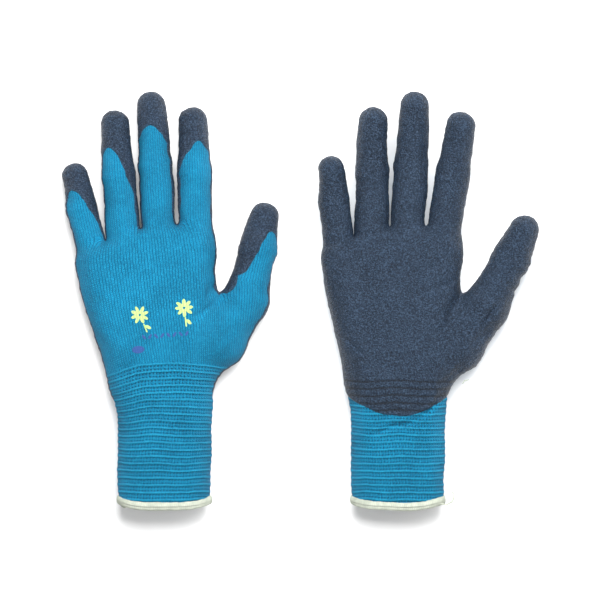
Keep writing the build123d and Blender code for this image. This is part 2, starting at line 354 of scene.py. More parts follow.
# %% Surface nets
def surface_net(distance, low, high, cell):
    axes = [np.arange(a, b + cell, cell) for a, b in zip(low, high)]
    shape = tuple(len(a) for a in axes)
    grid = np.stack(np.meshgrid(*axes, indexing="ij"), axis=-1).reshape(-1, 3)
    field = np.concatenate([distance(part) for part in np.array_split(grid, 24)]).reshape(shape)
    inside = field < 0
    cells = tuple(n - 1 for n in shape)
    total, count = np.zeros(cells + (3,)), np.zeros(cells)
    corner = [slice(0, -1), slice(1, None)]
    for axis in range(3):
        others = [k for k in range(3) if k != axis]
        for i in (0, 1):
            for j in (0, 1):
                near, far = [None] * 3, [None] * 3
                near[axis], far[axis] = corner
                near[others[0]] = far[others[0]] = corner[i]
                near[others[1]] = far[others[1]] = corner[j]
                a, b = field[tuple(near)], field[tuple(far)]
                cross = (a < 0) != (b < 0)
                share = np.where(cross, a / np.where(cross, a - b, 1), 0)
                offset = np.zeros(cells + (3,))
                offset[..., axis] = share
                offset[..., others[0]], offset[..., others[1]] = i, j
                total += offset * cross[..., None]
                count += cross
    used = count > 0
    number = np.full(cells, -1)
    number[used] = np.arange(used.sum())
    place = np.argwhere(used) + total[used] / count[used][:, None]
    vertices = place * cell + np.array(low)
    quads = []
    for axis in range(3):
        u, v = [(1, 2), (2, 0), (0, 1)][axis]
        take = [slice(1, -1)] * 3
        take[axis] = slice(0, -1)
        ahead = list(take)
        ahead[axis] = slice(1, None)
        a, b = inside[tuple(take)], inside[tuple(ahead)]
        spots = np.argwhere(a != b) + [0 if k == axis else 1 for k in range(3)]
        outward = a[tuple((spots - [0 if k == axis else 1 for k in range(3)]).T)]
        ring = []
        for du, dv in ((-1, -1), (0, -1), (0, 0), (-1, 0)):
            at = spots.copy()
            at[:, u] += du
            at[:, v] += dv
            ring.append(number[tuple(at.T)])
        ring = np.stack(ring, axis=1)
        ring[~outward] = ring[~outward][:, ::-1]
        quads.append(ring)
    return vertices, np.concatenate(quads)


def gradient(distance, points, step=0.25):
    g = np.empty_like(points)
    for k in range(3):
        shift = np.zeros(3)
        shift[k] = step
        g[:, k] = (distance(points + shift) - distance(points - shift)) / (2 * step)
    return g


def settle(distance, points, rounds=3):
    """Moves points onto the surface and returns them with their outward unit normals."""
    for _ in range(rounds):
        g = gradient(distance, points)
        size = np.maximum((g * g).sum(1), 0.05)
        move = np.clip(distance(points) / size, -1.0, 1.0)
        points = points - g * move[:, None]
    g = gradient(distance, points)
    return points, g / np.maximum(np.linalg.norm(g, axis=1), 1e-6)[:, None]


# %% [markdown]
# ## Where every point of the skin belongs
#
# A point of the skin belongs to a finger or to the hand. It gets cloth coordinates, so that the knitted
# columns run along each finger, and its distance inside the foam's edge, so that the foam can fade in.


# %% Cloth coordinates and the foam's edge
def waves(points, size, seed):
    """Smooth noise of about -1 to 1 made of a few plane waves, for shapes that repeat on every run."""
    rng = np.random.RandomState(seed)
    total = np.zeros(len(points))
    for _ in range(9):
        direction = unit(rng.normal(size=3)) * 2 * pi / (size * rng.uniform(0.7, 1.5))
        total += np.sin(points @ direction + rng.uniform(0, 2 * pi))
    return total / 3


def describe(points, glove):
    """Owner, cloth coordinates, foam depth and rib strength at each point."""
    x, y, z = straightened(points, glove).T
    centre, wide, deep = (tube_size(y, c) for c in (1, 2, 3))
    flat, side = wide - deep, x - centre
    bow = 4.5 * (np.clip(side, -36, 36) / 30) ** 2 * ramp(y, -35, 25) * (glove == "left")
    row = y + bow + 0.35 * waves(points, 30, 3)
    beyond = np.maximum(np.abs(side) - flat, 0)
    angle, reach = np.arctan2(beyond, z), np.hypot(beyond, z)
    turn = np.minimum(reach, deep + 1)
    under = (z < 0) & (beyond <= 0)
    arc = np.where(beyond > 0, flat + turn * angle + reach - turn, np.abs(side))
    arc = np.where(under, 2 * flat + pi * turn - np.abs(side), arc)
    u, v = np.where(side < 0, -arc, arc) * HALF_ROUND / (2 * flat + pi * turn), row.copy()
    hand_u, hand_v = u.copy(), row
    owner = np.zeros(len(points), int)
    s, back = np.zeros(len(points)), z.copy()
    across = side.copy()
    # The palm's foam: below the middle of the hand, and above a hollow curve at the wrist.
    start = -5.5 + 11 * np.clip(np.abs(x) / 30, 0, 1.2) ** 2
    foam = np.minimum(3.2 - z + 0.6 * waves(points, 14, 5), (y - start) * 0.9 + 0.3 * waves(points, 12, 6))
    nearest = np.full(len(points), 3.2)
    for i, name in enumerate(FINGERS, 1):
        a, f = AXES[glove][name], FINGERS[name]
        d = finger_distance(points, glove, name)
        outer = (points - a["middle"]) @ (a["base"] + a["outer"]) > 0
        origin = np.where(outer[:, None], a["middle"], a["root"])
        along = np.where(outer[:, None], a["outer"], a["base"])
        local = points - origin
        run = (local * along).sum(1) + np.where(outer, f["bend"], 0)
        sideways = local @ a["across"]
        height = (local * np.cross(a["across"], along)).sum(1)
        mine = (d < nearest) & (run > 0) & (y > (40 if name == "thumb" else 90))
        nearest = np.where(mine, d, nearest)
        owner[mine] = i
        s[mine], across[mine], back[mine] = run[mine], sideways[mine], height[mine]
        radius = f["radii"][1]
        u[mine] = (f["root"][0] + radius * np.arctan2(sideways, height))[mine]
        v[mine] = (f["root"][1] + run)[mine]
        apex, drop = ASKEW[name]
        away = np.maximum(-np.sign(apex) * sideways, 0)
        edge = 2.6 - height + 0.25 * away + 0.5 * waves(points, 12, 10 + i)
        share = np.clip(sideways / radius, -1, 1) - apex
        far = share * np.sign(apex) < 0
        share = np.abs(share) / np.where(far, 1 + abs(apex), 1 - abs(apex))
        peak = f["length"] - f["bare"] - np.where(far, drop, 8.0) * share**1.7
        tip = (run - peak) * 0.9 + 0.6 * waves(points, 7, 20 + i)
        share = ramp(run, 0, 9)
        foam[mine] = (np.maximum(edge, tip) * share + foam * (1 - share))[mine]
    # Foam also fills the web beside the thumb and the bottoms of the gaps between the fingers.
    web = AXES[glove]["thumb"]["root"] + np.array([-11.5, 3.0, 4.0])
    foam = np.maximum(foam, 6.0 - np.linalg.norm((points - web) * [0.8, 0.62, 0.8], axis=1))
    rib = 1 - ramp(row, *((24, 28) if glove == "left" else (14, 19)))
    rib = np.where(owner == 0, rib, 0)
    at = dict(owner=owner, s=s, across=across, back=back, foam=foam, rib=rib)
    return dict(at, u=u, v=v, hand_u=hand_u, hand_v=hand_v)


# %% [markdown]
# ## Relief of the cloth
#
# The relief moves the skin in or out: rolling ribs round the cuff, the creases that every bent knuckle
# leaves, folds across the palm, and a little unevenness so that no surface is perfectly smooth.


# %% Relief
# Folds as (x, y, x, y, depth, width, side), side +1 on the back, -1 on the palm.
FOLDS = {
    "left": [
        (-30, 72, -8, 60, 0.5, 2.2, 1),
        (30, 62, 44, 74, 0.9, 1.8, 1),
        (20, 50, 40, 58, 0.6, 2.0, 1),
        (-33, 50, -20, 44, 0.5, 1.8, 1),
        (-27, 22, -6, 30, 0.5, 1.6, 1),
        (30, 30, 44, 44, 0.7, 1.8, 1),
    ],
    "right": [
        (40, 70, 16, 30, 1.0, 2.4, -1),
        (34, 74, 2, 62, 0.7, 1.8, -1),
        (-36, 74, 4, 82, 0.6, 1.8, -1),
        (48, 46, 60, 60, 1.0, 1.6, -1),
        (44, 38, 57, 49, 0.8, 1.5, -1),
        (28, 8, 8, -10, 1.5, 1.5, -1),
        (8, -10, -16, -15, 1.4, 1.4, -1),
        (-34, 40, -18, 30, 0.6, 2.0, -1),
        (36, 24, 24, 12, 0.6, 1.6, -1),
    ],
}
# Middles of the two groups of creases on each finger, from its middle joint.
CREASES = {
    "index": (-0.5, 20.5),
    "middle": (0.0, 23.5),
    "ring": (0.0, 22.0),
    "little": (0.0, 13.5),
    "thumb": (-1.0, 12.0),
}


def relief(points, glove, at):
    """How far the cloth stands out at each point, in millimetres."""
    x, y, z = straightened(points, glove).T
    out = 0.34 * waves(points, 26, 1) + 0.16 * waves(points, 11, 2)
    ridge = (0.5 + 0.5 * np.cos(2 * pi * at["hand_v"] / ROW_PITCH)) ** 1.6
    out += at["rib"] * 0.34 * (ridge - 0.4)
    for i, name in enumerate(FINGERS, 1):
        mine = at["owner"] == i
        bend = FINGERS[name]["bend"]
        lines = [(bend + CREASES[name][0] + k, w) for k, w in ((-3.2, 0.55), (0.2, 0.8), (3.4, 0.5))]
        lines += [(bend + CREASES[name][1] + k, w) for k, w in ((-1.2, 0.5), (1.4, 0.35))]
        for n, (place, depth) in enumerate(lines):
            bow = place + 0.12 * at["across"] * (-1) ** n + 0.6 * waves(points, 9, 40 + n)
            line = 0.5 * depth * np.exp(-(((at["s"] - bow) / 0.95) ** 2))
            out -= np.where(mine, line * np.clip(0.15 + 0.13 * np.abs(at["back"]), 0, 1), 0)
    for x0, y0, x1, y1, depth, width, side in FOLDS[glove]:
        a, b = np.array([x0, y0]), np.array([x1, y1])
        p = points[:, :2] + 1.2 * np.stack([waves(points, 16, 7), waves(points, 16, 8)], axis=1)
        t = np.clip((p - a) @ (b - a) / ((b - a) @ (b - a)), 0, 1)
        gap = np.linalg.norm(p - a - t[:, None] * (b - a), axis=1)
        fade = np.sin(pi * (0.12 + 0.76 * t))
        valley = depth * fade * np.exp(-((gap / width) ** 2))
        swell = 0.4 * depth * fade * np.exp(-(((gap - 2.2 * width) / width) ** 2))
        out += np.where(z * side > 1.5, swell - valley, 0)
    if glove == "right":
        # The thumb's outer side is crumpled into short lumps.
        thumb = at["owner"] == 5
        phase = at["s"] + 0.2 * at["back"] + 0.8 * waves(points, 18, 60)
        lumps = 0.42 * np.sin(2 * pi * phase / 8.0) * ramp(at["across"], 1, 8)
        out += np.where(thumb, lumps * ramp(at["s"], 0, 6) * (1 - ramp(at["s"], 22, 30)), 0)
    return out


# %% [markdown]
# ## Materials
#
# Everything that can be reused is a node group with named inputs and outputs: the knit, the cuff's rows,
# the foam's grain and the twisted thread. The coordinates come from the mesh as millimetres of cloth.


# %% Node helpers
class Nodes:
    """Adds nodes to a tree: constants go straight onto sockets, and links join the rest."""

    def __init__(self, tree):
        self.tree = tree

    def add(self, kind, inputs=(), **settings):
        node = self.tree.nodes.new(kind)
        for key, value in settings.items():
            setattr(node, key, value)
        for key, value in dict(inputs).items():
            self.put(node.inputs[key], value)
        return node

    def put(self, socket, value):
        if isinstance(value, bpy.types.NodeSocket):
            self.tree.links.new(value, socket)
        else:
            socket.default_value = value

    def math(self, operation, a, b=0.0, c=0.0, clamp=False):
        node = self.tree.nodes.new("ShaderNodeMath")
        node.operation, node.use_clamp = operation, clamp
        for socket, value in zip(node.inputs, (a, b, c)):
            self.put(socket, value)
        return node.outputs[0]

    def spread(self, value, low, high, out_low=0.0, out_high=1.0):
        """value taken from one range to another, eased and clamped."""
        node = self.add("ShaderNodeMapRange", interpolation_type="SMOOTHSTEP")
        ends = {"From Min": low, "From Max": high, "To Min": out_low, "To Max": out_high}
        for key, v in dict(ends, Value=value).items():
            self.put(node.inputs[key], v)
        return node.outputs["Result"]

    def mix(self, share, a, b, kind="MIX"):
        node = self.add("ShaderNodeMix", data_type="RGBA", blend_type=kind)
        self.put(node.inputs["Factor"], share)
        self.put(node.inputs["A"], a)
        self.put(node.inputs["B"], b)
        return node.outputs["Result"]

    def noise(self, vector, scale, detail=3.0, rough=0.55):
        inputs = {"Vector": vector, "Scale": scale, "Detail": detail, "Roughness": rough}
        return self.add("ShaderNodeTexNoise", inputs).outputs["Fac"]


def new_group(name, inputs, outputs):
    """A shader node group with named sockets. Returns its nodes, its inputs and its output node."""
    tree = bpy.data.node_groups.new(name, "ShaderNodeTree")
    for label, kind, default in inputs:
        socket = tree.interface.new_socket(label, in_out="INPUT", socket_type=kind)
        if default is not None:
            socket.default_value = default
    for label, kind in outputs:
        tree.interface.new_socket(label, in_out="OUTPUT", socket_type=kind)
    nodes = Nodes(tree)
    return nodes, nodes.add("NodeGroupInput").outputs, nodes.add("NodeGroupOutput")


FLOAT, VECTOR = "NodeSocketFloat", "NodeSocketVector"
CLOTH_AND_PLACE = [("Cloth", VECTOR, None), ("Place", VECTOR, None)]


# %% [markdown]
# ### Knit
#
# A column of knitting is a stack of V shapes. Folding the sideways coordinate about the middle of its
# column and adding it to the row coordinate draws the V; the gaps between columns make the grooves.


# %% Knit stitch group
def make_knit_group():
    n, i, out = new_group(
        "Knit Stitches",
        CLOTH_AND_PLACE + [("Column Width", FLOAT, 1.5), ("Row Height", FLOAT, 1.15)],
        [("Height", FLOAT), ("Gap", FLOAT)],
    )
    cloth = n.add("ShaderNodeSeparateXYZ", {0: i["Cloth"]}).outputs
    waver = n.noise(i["Place"], 0.35, 2.0)
    sideways = n.math("ADD", cloth[0], n.math("MULTIPLY", n.math("SUBTRACT", waver, 0.5), 1.1))
    column = n.math("DIVIDE", sideways, i["Column Width"])
    inside = n.math("ABSOLUTE", n.math("SUBTRACT", n.math("FRACT", column), 0.5))
    row = n.math("DIVIDE", cloth[1], i["Row Height"])
    slanted = n.math("ADD", row, n.math("MULTIPLY", inside, 1.7))
    turn = n.math("MULTIPLY", slanted, 2 * pi)
    yarn = n.math("MULTIPLY_ADD", n.math("SINE", turn), 0.5, 0.5)
    edge = n.spread(inside, 0.5, 0.33)
    spine = n.spread(inside, 0.0, 0.09)
    body = n.math("MULTIPLY", edge, n.math("MULTIPLY_ADD", spine, 0.35, 0.65))
    height = n.math("MULTIPLY", body, n.math("MULTIPLY_ADD", yarn, 0.55, 0.45))
    n.put(out.inputs["Height"], height)
    n.put(out.inputs["Gap"], n.math("SUBTRACT", 1.0, height))
    return n.tree


# %% [markdown]
# ### Rows of the cuff
#
# Elastic yarn gathers the cuff into rows. Each row has one yarn that stands out and catches the light, and
# small dark eyelets on both sides of it, set half a pitch apart. Distances to a line and to a staggered
# grid of dots draw both, and a slow noise bends them so that they don't look printed.


# %% Cuff row group
def make_rib_group():
    """The cuff's rows as masks: a thin raised yarn along each row, staggered eyelets on both sides of it and the
    valleys between rows, for relief, a painted highlight on the yarn and painted shade in the eyelets and valleys.
    """
    n, i, out = new_group(
        "Cuff Rows",
        CLOTH_AND_PLACE + [("Row Pitch", FLOAT, ROW_PITCH), ("Eyelet Pitch", FLOAT, 2.1)],
        [("Ridge", FLOAT), ("Eyelet", FLOAT), ("Valley", FLOAT)],
    )
    cloth = n.add("ShaderNodeSeparateXYZ", {0: i["Cloth"]}).outputs
    waver = n.math("SUBTRACT", n.noise(i["Place"], 0.25, 3.0), 0.5)
    row = n.math("DIVIDE", n.math("MULTIPLY_ADD", waver, 0.9, cloth[1]), i["Row Pitch"])
    place_in_row = n.math("FRACT", n.math("ADD", row, 0.5))
    near = n.math("ABSOLUTE", n.math("SUBTRACT", place_in_row, 0.5))
    number = n.math("FLOOR", n.math("ADD", row, 0.5))
    above = n.math("GREATER_THAN", place_in_row, 0.5)
    shift = n.math("MULTIPLY_ADD", number, 0.37, n.math("MULTIPLY_ADD", above, 0.5, near))
    sideways = n.math("MULTIPLY_ADD", waver, 1.6, cloth[0])
    place = n.math("ADD", n.math("DIVIDE", sideways, i["Eyelet Pitch"]), shift)
    beside = n.math("ABSOLUTE", n.math("SUBTRACT", n.math("FRACT", place), 0.5))
    across = n.math("MULTIPLY", beside, i["Eyelet Pitch"])
    up = n.math("MULTIPLY", n.math("ABSOLUTE", n.math("SUBTRACT", near, 0.28)), i["Row Pitch"])
    reach = n.math("SQRT", n.math("ADD", n.math("POWER", across, 2.0), n.math("POWER", up, 2.0)))
    size = n.math("MULTIPLY_ADD", n.noise(i["Place"], 0.8, 2.0), 0.5, 0.40)
    n.put(out.inputs["Eyelet"], n.spread(n.math("DIVIDE", reach, size), 1.0, 0.35))
    n.put(out.inputs["Ridge"], n.spread(near, 0.17, 0.05))
    n.put(out.inputs["Valley"], n.spread(near, 0.2, 0.5))
    return n.tree


# %% [markdown]
# ### Foam
#
# Foamed latex dries with burst bubbles, so it looks matt and crumbly, with brighter specks where it has
# been rubbed. Cells of a Voronoi texture make the bubbles and a rough noise makes the crumbs.


# %% Foam group
def make_foam_group():
    """Foamed latex: fine open bubbles, coarser crumbs, and worn specks where the crumbs stand proud."""
    n, i, out = new_group(
        "Foam Grain",
        [("Position", VECTOR, None), ("Bubble Size", FLOAT, 1.0)],
        [("Height", FLOAT), ("Bubble", FLOAT), ("Speck", FLOAT), ("Cloud", FLOAT)],
    )
    scale = n.math("DIVIDE", 1.0, i["Bubble Size"])
    cells = n.add("ShaderNodeTexVoronoi", {"Vector": i["Position"], "Scale": scale, "Randomness": 1.0})
    bubble = n.spread(cells.outputs["Distance"], 0.75, 0.1)
    crumbs = n.noise(i["Position"], 1.1, 5.0, 0.72)
    cloud = n.noise(i["Position"], 0.06, 2.0, 0.5)
    speck = n.spread(n.noise(i["Position"], 1.25, 3.0, 0.72), 0.48, 0.60)
    height = n.math("MULTIPLY_ADD", crumbs, 1.2, n.math("MULTIPLY", bubble, -0.45))
    n.put(out.inputs["Height"], height)
    n.put(out.inputs["Bubble"], bubble)
    n.put(out.inputs["Speck"], speck)
    n.put(out.inputs["Cloud"], cloud)
    return n.tree


# %% [markdown]
# ### Thread
#
# A thread is plies twisted together. A sine wave over the way along it and the way round it draws their
# slant, which serves both the hem's thread and the covered elastic.


# %% Twisted thread group
def make_thread_group():
    """The plies that wind round a thread, the slow change of its tone along the way, and its fuzz."""
    n, i, out = new_group(
        "Twisted Thread",
        [("Cloth", VECTOR, None), ("Winding", FLOAT, 9.0), ("Slant", FLOAT, 6.0)],
        [("Ply", FLOAT), ("Tone", FLOAT), ("Fuzz", FLOAT)],
    )
    parts = n.add("ShaderNodeSeparateXYZ", {0: i["Cloth"]}).outputs
    along, round_it = n.math("MULTIPLY", parts[0], i["Winding"]), n.math("MULTIPLY", parts[1], i["Slant"])
    ply = n.math("SINE", n.math("ADD", along, round_it))
    n.put(out.inputs["Ply"], n.math("MULTIPLY_ADD", ply, 0.5, 0.5))
    n.put(out.inputs["Tone"], n.spread(n.noise(i["Cloth"], 0.25, 3.0), 0.3, 0.7))
    n.put(out.inputs["Fuzz"], n.noise(i["Cloth"], 3.0))
    return n.tree


KNIT, RIBS, FOAM, THREAD = make_knit_group(), make_rib_group(), make_foam_group(), make_thread_group()
print("node groups:", ", ".join(tree.name for tree in (KNIT, RIBS, FOAM, THREAD)))

# %% [markdown]
# ### Finishes
#
# Each material places the groups it needs and keeps its own colours. The mesh says through an attribute where the
# cuff's rows are, how deep a point lies inside the foam's edge and, on the hem, where the thread gets painted shade
# between its loops.


# %% Materials
def material(name):
    """A new material with its nodes, its surface and a group adder."""
    m = bpy.data.materials.new(name)
    m.use_nodes = True
    n = Nodes(m.node_tree)
    return m, n, m.node_tree.nodes["Principled BSDF"]


def group(n, tree, inputs):
    node = n.add("ShaderNodeGroup", node_tree=tree)
    for key, value in inputs.items():
        n.put(node.inputs[key], value)
    return node.outputs


def cloth_of(n):
    return n.add("ShaderNodeAttribute", attribute_name="cloth").outputs["Vector"]


def bump(n, surface, height, distance, strength=1.0):
    node = n.add("ShaderNodeBump", {"Height": height, "Distance": distance, "Strength": strength})
    n.put(surface.inputs["Normal"], node.outputs["Normal"])


def place_of(n):
    """Object position in millimetres."""
    place = n.add("ShaderNodeTexCoord").outputs["Object"]
    return n.add("ShaderNodeMapping", {"Vector": place, "Scale": (1000, 1000, 1000)}).outputs[0]


def rows_foam_and_shade_of(n):
    rows_foam_and_shade = n.add("ShaderNodeAttribute", attribute_name="rows_foam_and_shade").outputs["Vector"]
    return n.add("ShaderNodeSeparateXYZ", {0: rows_foam_and_shade}).outputs


def knit_material(name, deep, light, groove_shade, ridge):
    """Knit yarn in two tones, with painted shade in its gaps, and the cuff's rows where the mesh asks for them: a
    painted highlight on each row's raised yarn and painted shade in its eyelets.
    """
    m, n, surface = material(name)
    cloth, place, rib = cloth_of(n), place_of(n), rows_foam_and_shade_of(n)[0]
    stitches = group(n, KNIT, {"Cloth": cloth, "Place": place})
    rows = group(n, RIBS, {"Cloth": cloth, "Place": place})
    colour = n.mix(n.spread(n.noise(place, 0.055, 3.0, 0.6), 0.3, 0.7), deep, light)
    # Random heather flecks take the light ridge colour. Further down, the same colour is the painted highlight on the
    # cuff's raised yarn.
    heather = n.spread(n.noise(place, 1.1, 2.0), 0.4, 0.7)
    colour = n.mix(n.math("MULTIPLY", heather, 0.45), colour, ridge)
    # Painted shade: the gaps between stitches are darkened towards the groove colour, less so in the cuff's rows.
    gap = n.math("MULTIPLY", n.spread(stitches["Gap"], 0.3, 0.95), n.math("MULTIPLY_ADD", rib, -0.5, 0.75))
    colour = n.mix(gap, colour, groove_shade)
    eyelet, raised = (n.math("MULTIPLY", rows[k], rib) for k in ("Eyelet", "Ridge"))
    broken = n.spread(n.noise(place, 0.9, 3.0, 0.7), 0.35, 0.65, 0.15, 0.75)
    # Painted highlight: the raised yarn of each cuff row is lightened towards the ridge colour, broken by noise.
    colour = n.mix(n.math("MULTIPLY", raised, broken), colour, ridge)
    # Painted shade in the eyelets of the cuff's rows.
    colour = n.mix(n.math("MULTIPLY", eyelet, 0.92), colour, groove_shade)
    height = n.math("MULTIPLY_ADD", raised, 0.5, n.math("MULTIPLY", stitches["Height"], 0.55))
    height = n.math("MULTIPLY_ADD", eyelet, -0.6, height)
    n.put(surface.inputs["Base Color"], colour)
    n.put(surface.inputs["Roughness"], n.math("MULTIPLY_ADD", stitches["Gap"], 0.15, 0.75))
    surface.inputs["Sheen Weight"].default_value = 0.02
    surface.inputs["Sheen Roughness"].default_value = 0.5
    surface.inputs["Specular IOR Level"].default_value = 0.14
    bump(n, surface, height, 0.001)
    return m


def foam_material():
    m, n, surface = material("Foam coating")
    cloth, place, rows_foam_and_shade = cloth_of(n), place_of(n), rows_foam_and_shade_of(n)
    grain = group(n, FOAM, {"Position": place})
    rows = group(n, RIBS, {"Cloth": cloth, "Place": place})
    cloud = n.spread(grain["Cloud"], 0.35, 0.68)
    colour = n.mix(cloud, (0.008, 0.016, 0.031, 1), (0.012, 0.023, 0.043, 1))
    colour = n.mix(n.math("MULTIPLY", grain["Bubble"], 0.7), colour, (0.003, 0.006, 0.011, 1))
    colour = n.mix(n.math("MULTIPLY", grain["Speck"], 0.7), colour, (0.048, 0.083, 0.140, 1))
    # Painted shade: the dipped part of the cuff's rows is darkened in its valleys.
    valley = n.math("MULTIPLY", n.math("MULTIPLY", rows["Valley"], rows_foam_and_shade[0]), 0.75)
    colour = n.mix(valley, colour, (0.004, 0.006, 0.009, 1))
    # Where the foam is thin, at its edge, the blue knit shows through.
    thin = n.math("MULTIPLY", n.spread(rows_foam_and_shade[1], 2.2, 0.2), n.spread(n.noise(place, 0.9, 2.0), 0.35, 0.7))
    colour = n.mix(n.math("MULTIPLY", thin, 0.4), colour, (0.012, 0.10, 0.18, 1))
    n.put(surface.inputs["Base Color"], colour)
    n.put(surface.inputs["Roughness"], n.math("MULTIPLY_ADD", grain["Speck"], -0.12, 0.55))
    surface.inputs["Specular IOR Level"].default_value = 0.28
    bump(n, surface, n.math("MULTIPLY", grain["Height"], 0.8), 0.001)
    return m


def thread_material():
    m, n, surface = material("Hem thread")
    thread = group(n, THREAD, {"Cloth": cloth_of(n)})
    colour = n.mix(thread["Tone"], (0.44, 0.47, 0.39, 1), (0.57, 0.60, 0.50, 1))
    colour = n.mix(n.math("MULTIPLY", thread["Ply"], 0.15), colour, (0.27, 0.31, 0.27, 1))
    # Painted shade between the hem's loops, where the mesh marks their valleys.
    colour = n.mix(n.math("MULTIPLY", rows_foam_and_shade_of(n)[0], 0.3), colour, (0.22, 0.27, 0.25, 1))
    n.put(surface.inputs["Base Color"], colour)
    surface.inputs["Roughness"].default_value = 0.85
    surface.inputs["Specular IOR Level"].default_value = 0.2
    fuzz = n.math("MULTIPLY", thread["Fuzz"], 0.3)
    bump(n, surface, n.math("MULTIPLY_ADD", thread["Ply"], 0.18, fuzz), 0.001)
    return m


def elastic_material():
    """Covered elastic: a rubber core shows faintly between the turns of the pale thread round it."""
    m, n, surface = material("Elastic yarn")
    thread = group(n, THREAD, {"Cloth": cloth_of(n), "Winding": 5.0, "Slant": 2.5})
    colour = n.mix(thread["Tone"], (0.50, 0.52, 0.50, 1), (0.62, 0.64, 0.61, 1))
    colour = n.mix(n.math("MULTIPLY", thread["Ply"], 0.5), colour, (0.24, 0.26, 0.26, 1))
    n.put(surface.inputs["Base Color"], colour)
    n.put(surface.inputs["Roughness"], n.math("MULTIPLY_ADD", thread["Fuzz"], 0.25, 0.6))
    bump(n, surface, n.math("MULTIPLY", thread["Ply"], -0.12), 0.001)
    return m


def ink_material(name, colour, shade):
    """Ink on knit: the yarn's relief stays, and in the knit's gaps the ink turns to its shade tone: partly the knit
    showing through thin ink, partly painted shade.
    """
    m, n, surface = material(name)
    cloth = cloth_of(n)
    stitches = group(n, KNIT, {"Cloth": cloth, "Place": place_of(n)})
    tone = n.mix(n.math("MULTIPLY", n.spread(stitches["Gap"], 0.5, 1.0), 0.5), colour, shade)
    n.put(surface.inputs["Base Color"], tone)
    surface.inputs["Roughness"].default_value = 0.7
    bump(n, surface, n.math("MULTIPLY", stitches["Height"], 0.3), 0.001)
    return m


# The groove colour is painted shade in the stitch gaps and eyelets. The ridge colour gives random heather and also the
# painted highlight on the cuff's raised yarn.
KNIT_MATERIAL = knit_material(
    "Turquoise knit",
    deep=(0.003, 0.145, 0.275, 1),
    light=(0.005, 0.205, 0.38, 1),
    groove_shade=(0.001, 0.035, 0.08, 1),
    ridge=(0.016, 0.34, 0.56, 1),
)
FOAM_MATERIAL = foam_material()
THREAD_MATERIAL = thread_material()
PALE_INK = ink_material("Pale ink", (0.44, 0.62, 0.20, 1), (0.13, 0.34, 0.20, 1))
DARK_INK = ink_material("Violet ink", (0.018, 0.065, 0.24, 1), (0.006, 0.09, 0.22, 1))
ELASTIC_MATERIAL = elastic_material()
print("materials:", ", ".join(m.name for m in bpy.data.materials))

# %% [markdown]
# ## Placing a glove
#
# The CAD cuff gives the place of each wrist. The palm-up glove is the same hand turned inside out in Z,
# so its faces are reversed as well.


# %% Placing
HEM_TO_WRIST = 0.0616  # metres from the hem's lower edge
TABLE_GAP = 0.0002  # metres that the skin keeps above the table, on which it is pressed flat


def placement(glove):
    low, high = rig.box(f"{glove}_cuff_hem")
    ring_low, ring_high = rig.box(f"{glove}_cuff_elastic")
    wrist = np.array([(low.x + high.x) / 2, low.y + HEM_TO_WRIST, (ring_low.z + ring_high.z) / 2])
    spin = turn_matrix(-GLOVES[glove]["yaw"])
    if GLOVES[glove]["palm_up"]:
        spin = np.diag([1, 1, -1]) @ spin
    return spin, wrist


def to_row(points, glove):
    spin, wrist = placement(glove)
    placed = np.asarray(points, float) @ spin.T * 0.001 + wrist
    placed[:, 2] = np.maximum(placed[:, 2], TABLE_GAP)
    return placed


def to_row_direction(vectors, glove):
    spin, _ = placement(glove)
    return np.asarray(vectors, float) @ spin.T


def mesh_object(name, vertices, faces, glove, attributes=(), normals=None):
    """A mesh in the row frame from points and faces in the hand's frame."""
    faces = [tuple(f) for f in faces]
    if GLOVES[glove]["palm_up"]:
        faces = [f[::-1] for f in faces]
    mesh = bpy.data.meshes.new(name)
    mesh.from_pydata(to_row(vertices, glove), [], faces)
    for key, values in dict(attributes).items():
        values = np.asarray(values, np.float32)
        if values.ndim == 3 and GLOVES[glove]["palm_up"]:
            values = values[:, ::-1]
        layer = mesh.attributes.new(key, "FLOAT_VECTOR", "CORNER" if values.ndim == 3 else "POINT")
        layer.data.foreach_set("vector", values.ravel())
    mesh.polygons.foreach_set("use_smooth", [True] * len(mesh.polygons))
    if normals is not None:
        mesh.normals_split_custom_set_from_vertices(to_row_direction(normals, glove))
    obj = bpy.data.objects.new(name, mesh)
    bpy.context.scene.collection.objects.link(obj)
    return obj


def vertex_normals(vertices, quads):
    a, b, c, d = (vertices[quads[:, k]] for k in range(4))
    face = np.cross(c - a, d - b)
    total = np.zeros_like(vertices)
    for k in range(4):
        np.add.at(total, quads[:, k], face)
    return total / np.maximum(np.linalg.norm(total, axis=1), 1e-9)[:, None]


for glove in GLOVES:
    print(glove, "wrist at", [round(float(c), 4) for c in placement(glove)[1]], "m")

# %% [markdown]
# ## Skin and foam
#
# One net makes the whole glove, and the foam is the same net pushed outwards where the foam is deep and
# inwards at its edge, so the edge is the clean line where the two surfaces cross. Both are then cut into
# pieces at the joints. A piece that crosses a joint follows the part before it at its start and the part
# after it at its end; all pieces keep the normals of the whole glove, so the cuts don't show.

# %% Pieces of a glove
BEFORE = 6.5  # how far before a finger's middle joint its bend begins
FOAM_SINK = 0.4  # how deep the foam's surface dives under the knit beyond its edge
FOAM_RISE = 0.95  # from there up to its full thickness
FOAM_REACH = 0.9  # how far beyond its edge the foam's surface goes on


def piece_of_faces(quads, at, glove, middle_y):
    """A number for every face: 0 hand, 1 cuff, then an even and an odd one for each finger."""
    owner = at["owner"][quads]
    owner = np.where((owner == owner[:, :1]).all(1), owner[:, 0], 0)
    s = at["s"][quads].mean(1)
    piece = np.where(middle_y < 0, 1, 0)
    for i, name in enumerate(FINGERS, 1):
        outer = s > FINGERS[name]["bend"] - BEFORE
        piece = np.where(owner == i, np.where(outer, 2 * i + 1, 2 * i), piece)
    return piece


def finger_of(number):
    return list(FINGERS)[number // 2 - 1]


